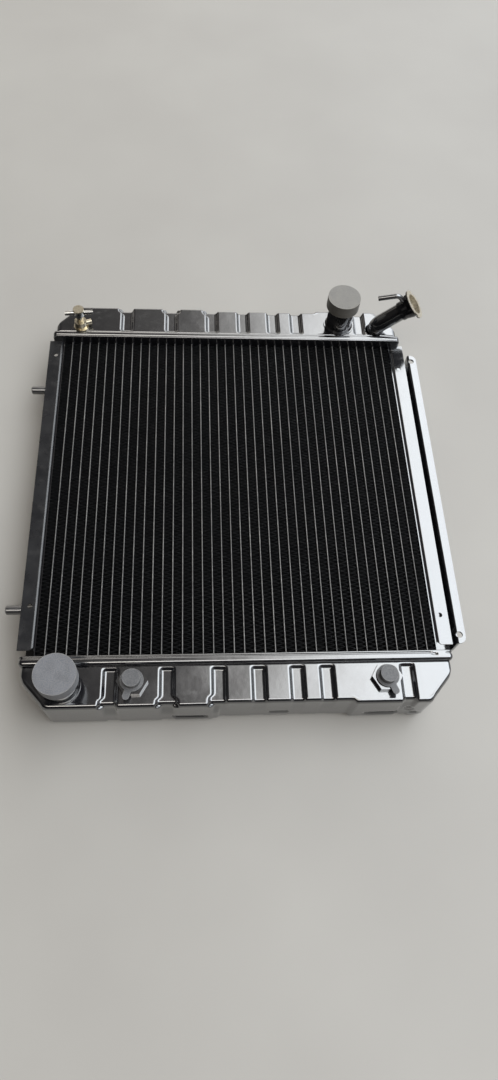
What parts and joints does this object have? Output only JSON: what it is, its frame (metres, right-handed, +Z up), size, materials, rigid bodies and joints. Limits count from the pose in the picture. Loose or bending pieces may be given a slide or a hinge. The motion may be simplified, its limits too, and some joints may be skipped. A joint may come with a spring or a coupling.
{
  "type": "car radiator",
  "caption": "Crossflow car radiator with pressed side tanks, a tube and fin core, side channels, capped hose necks, a built-in oil cooler, an angled filler and a drain cock.",
  "frame": {"origin": "on the floor, under the middle of the core, with the radiator lying on its front side", "axes": "+X towards the radiator's top as it stands in the car, +Y towards the inlet tank, +Z up, out of the engine side"},
  "size_m": [0.506, 0.54, 0.1253],
  "materials": {
    "black_paint": "gloss black paint",
    "core_paint": "matte black paint",
    "tube_metal": "thin black paint worn to a grey edge",
    "bare_brass": "bare, lightly tinned",
    "plated_steel": "bright plating",
    "cap_plastic": "grey, slightly speckled",
    "union_cap_plastic": "dark grey",
    "seal_rubber": "black"
  },
  "bodies": {
    "radiator": {"core_fins": "core_paint", "core_tubes_front": "tube_metal", "core_tubes_middle": "tube_metal", "core_tubes_rear": "tube_metal", "core_side_plates": "black_paint", "outlet_header": "black_paint", "inlet_header": "black_paint", "outlet_tank": "black_paint", "inlet_tank": "black_paint", "bottom_side_frame": "black_paint", "top_side_frame": "black_paint", "bottom_locating_pins": "black_paint", "top_mounting_rail": "black_paint", "outlet_neck": "black_paint", "inlet_neck": "black_paint", "filler_pipe": "black_paint", "filler_mouth": "bare_brass", "overflow_pipe": "black_paint", "drain_boss": "bare_brass", "oil_cooler_shell": "bare_brass", "oil_cooler_core_tube": "bare_brass", "oil_cooler_turbulator": "bare_brass", "bottom_oil_union": "black_paint", "top_oil_union": "black_paint", "oil_union_gaskets": "seal_rubber", "oil_union_nuts": "black_paint"},
    "outlet_cap": {"outlet_neck_cap": "cap_plastic"},
    "inlet_cap": {"inlet_neck_cap": "cap_plastic"},
    "bottom_fitting_cap": {"bottom_union_cap": "union_cap_plastic"},
    "top_fitting_cap": {"top_union_cap": "union_cap_plastic"},
    "drain_washer": {"drain_seal": "seal_rubber"},
    "drain_screw": {"drain_spindle": "bare_brass", "drain_wing": "plated_steel"}
  },
  "joints": [
    {"name": "outlet_cap_off", "type": "slide", "parent": "radiator", "child": "outlet_cap", "axis": [0, 0, 1], "range_m": [0, 0.05]},
    {"name": "inlet_cap_off", "type": "slide", "parent": "radiator", "child": "inlet_cap", "axis": [0, 0, 1], "range_m": [0, 0.06]},
    {"name": "bottom_fitting_cap_off", "type": "slide", "parent": "radiator", "child": "bottom_fitting_cap", "axis": [0, 0, 1], "range_m": [0, 0.02]},
    {"name": "top_fitting_cap_off", "type": "slide", "parent": "radiator", "child": "top_fitting_cap", "axis": [0, 0, 1], "range_m": [0, 0.02]},
    {"name": "drain_lift", "type": "slide", "parent": "radiator", "child": "drain_washer", "axis": [0, 0, 1], "range_m": [0, 0.003]},
    {"name": "drain_turn", "type": "hinge", "parent": "drain_washer", "child": "drain_screw", "pos_m": [-0.193, 0.234, 0.082], "axis": [0, 0, 1], "range_deg": [0, 720]}
  ],
  "couplings": [
    {"joint": "drain_turn", "follows": "drain_lift", "rad_per_m": 4188.8}
  ]
}
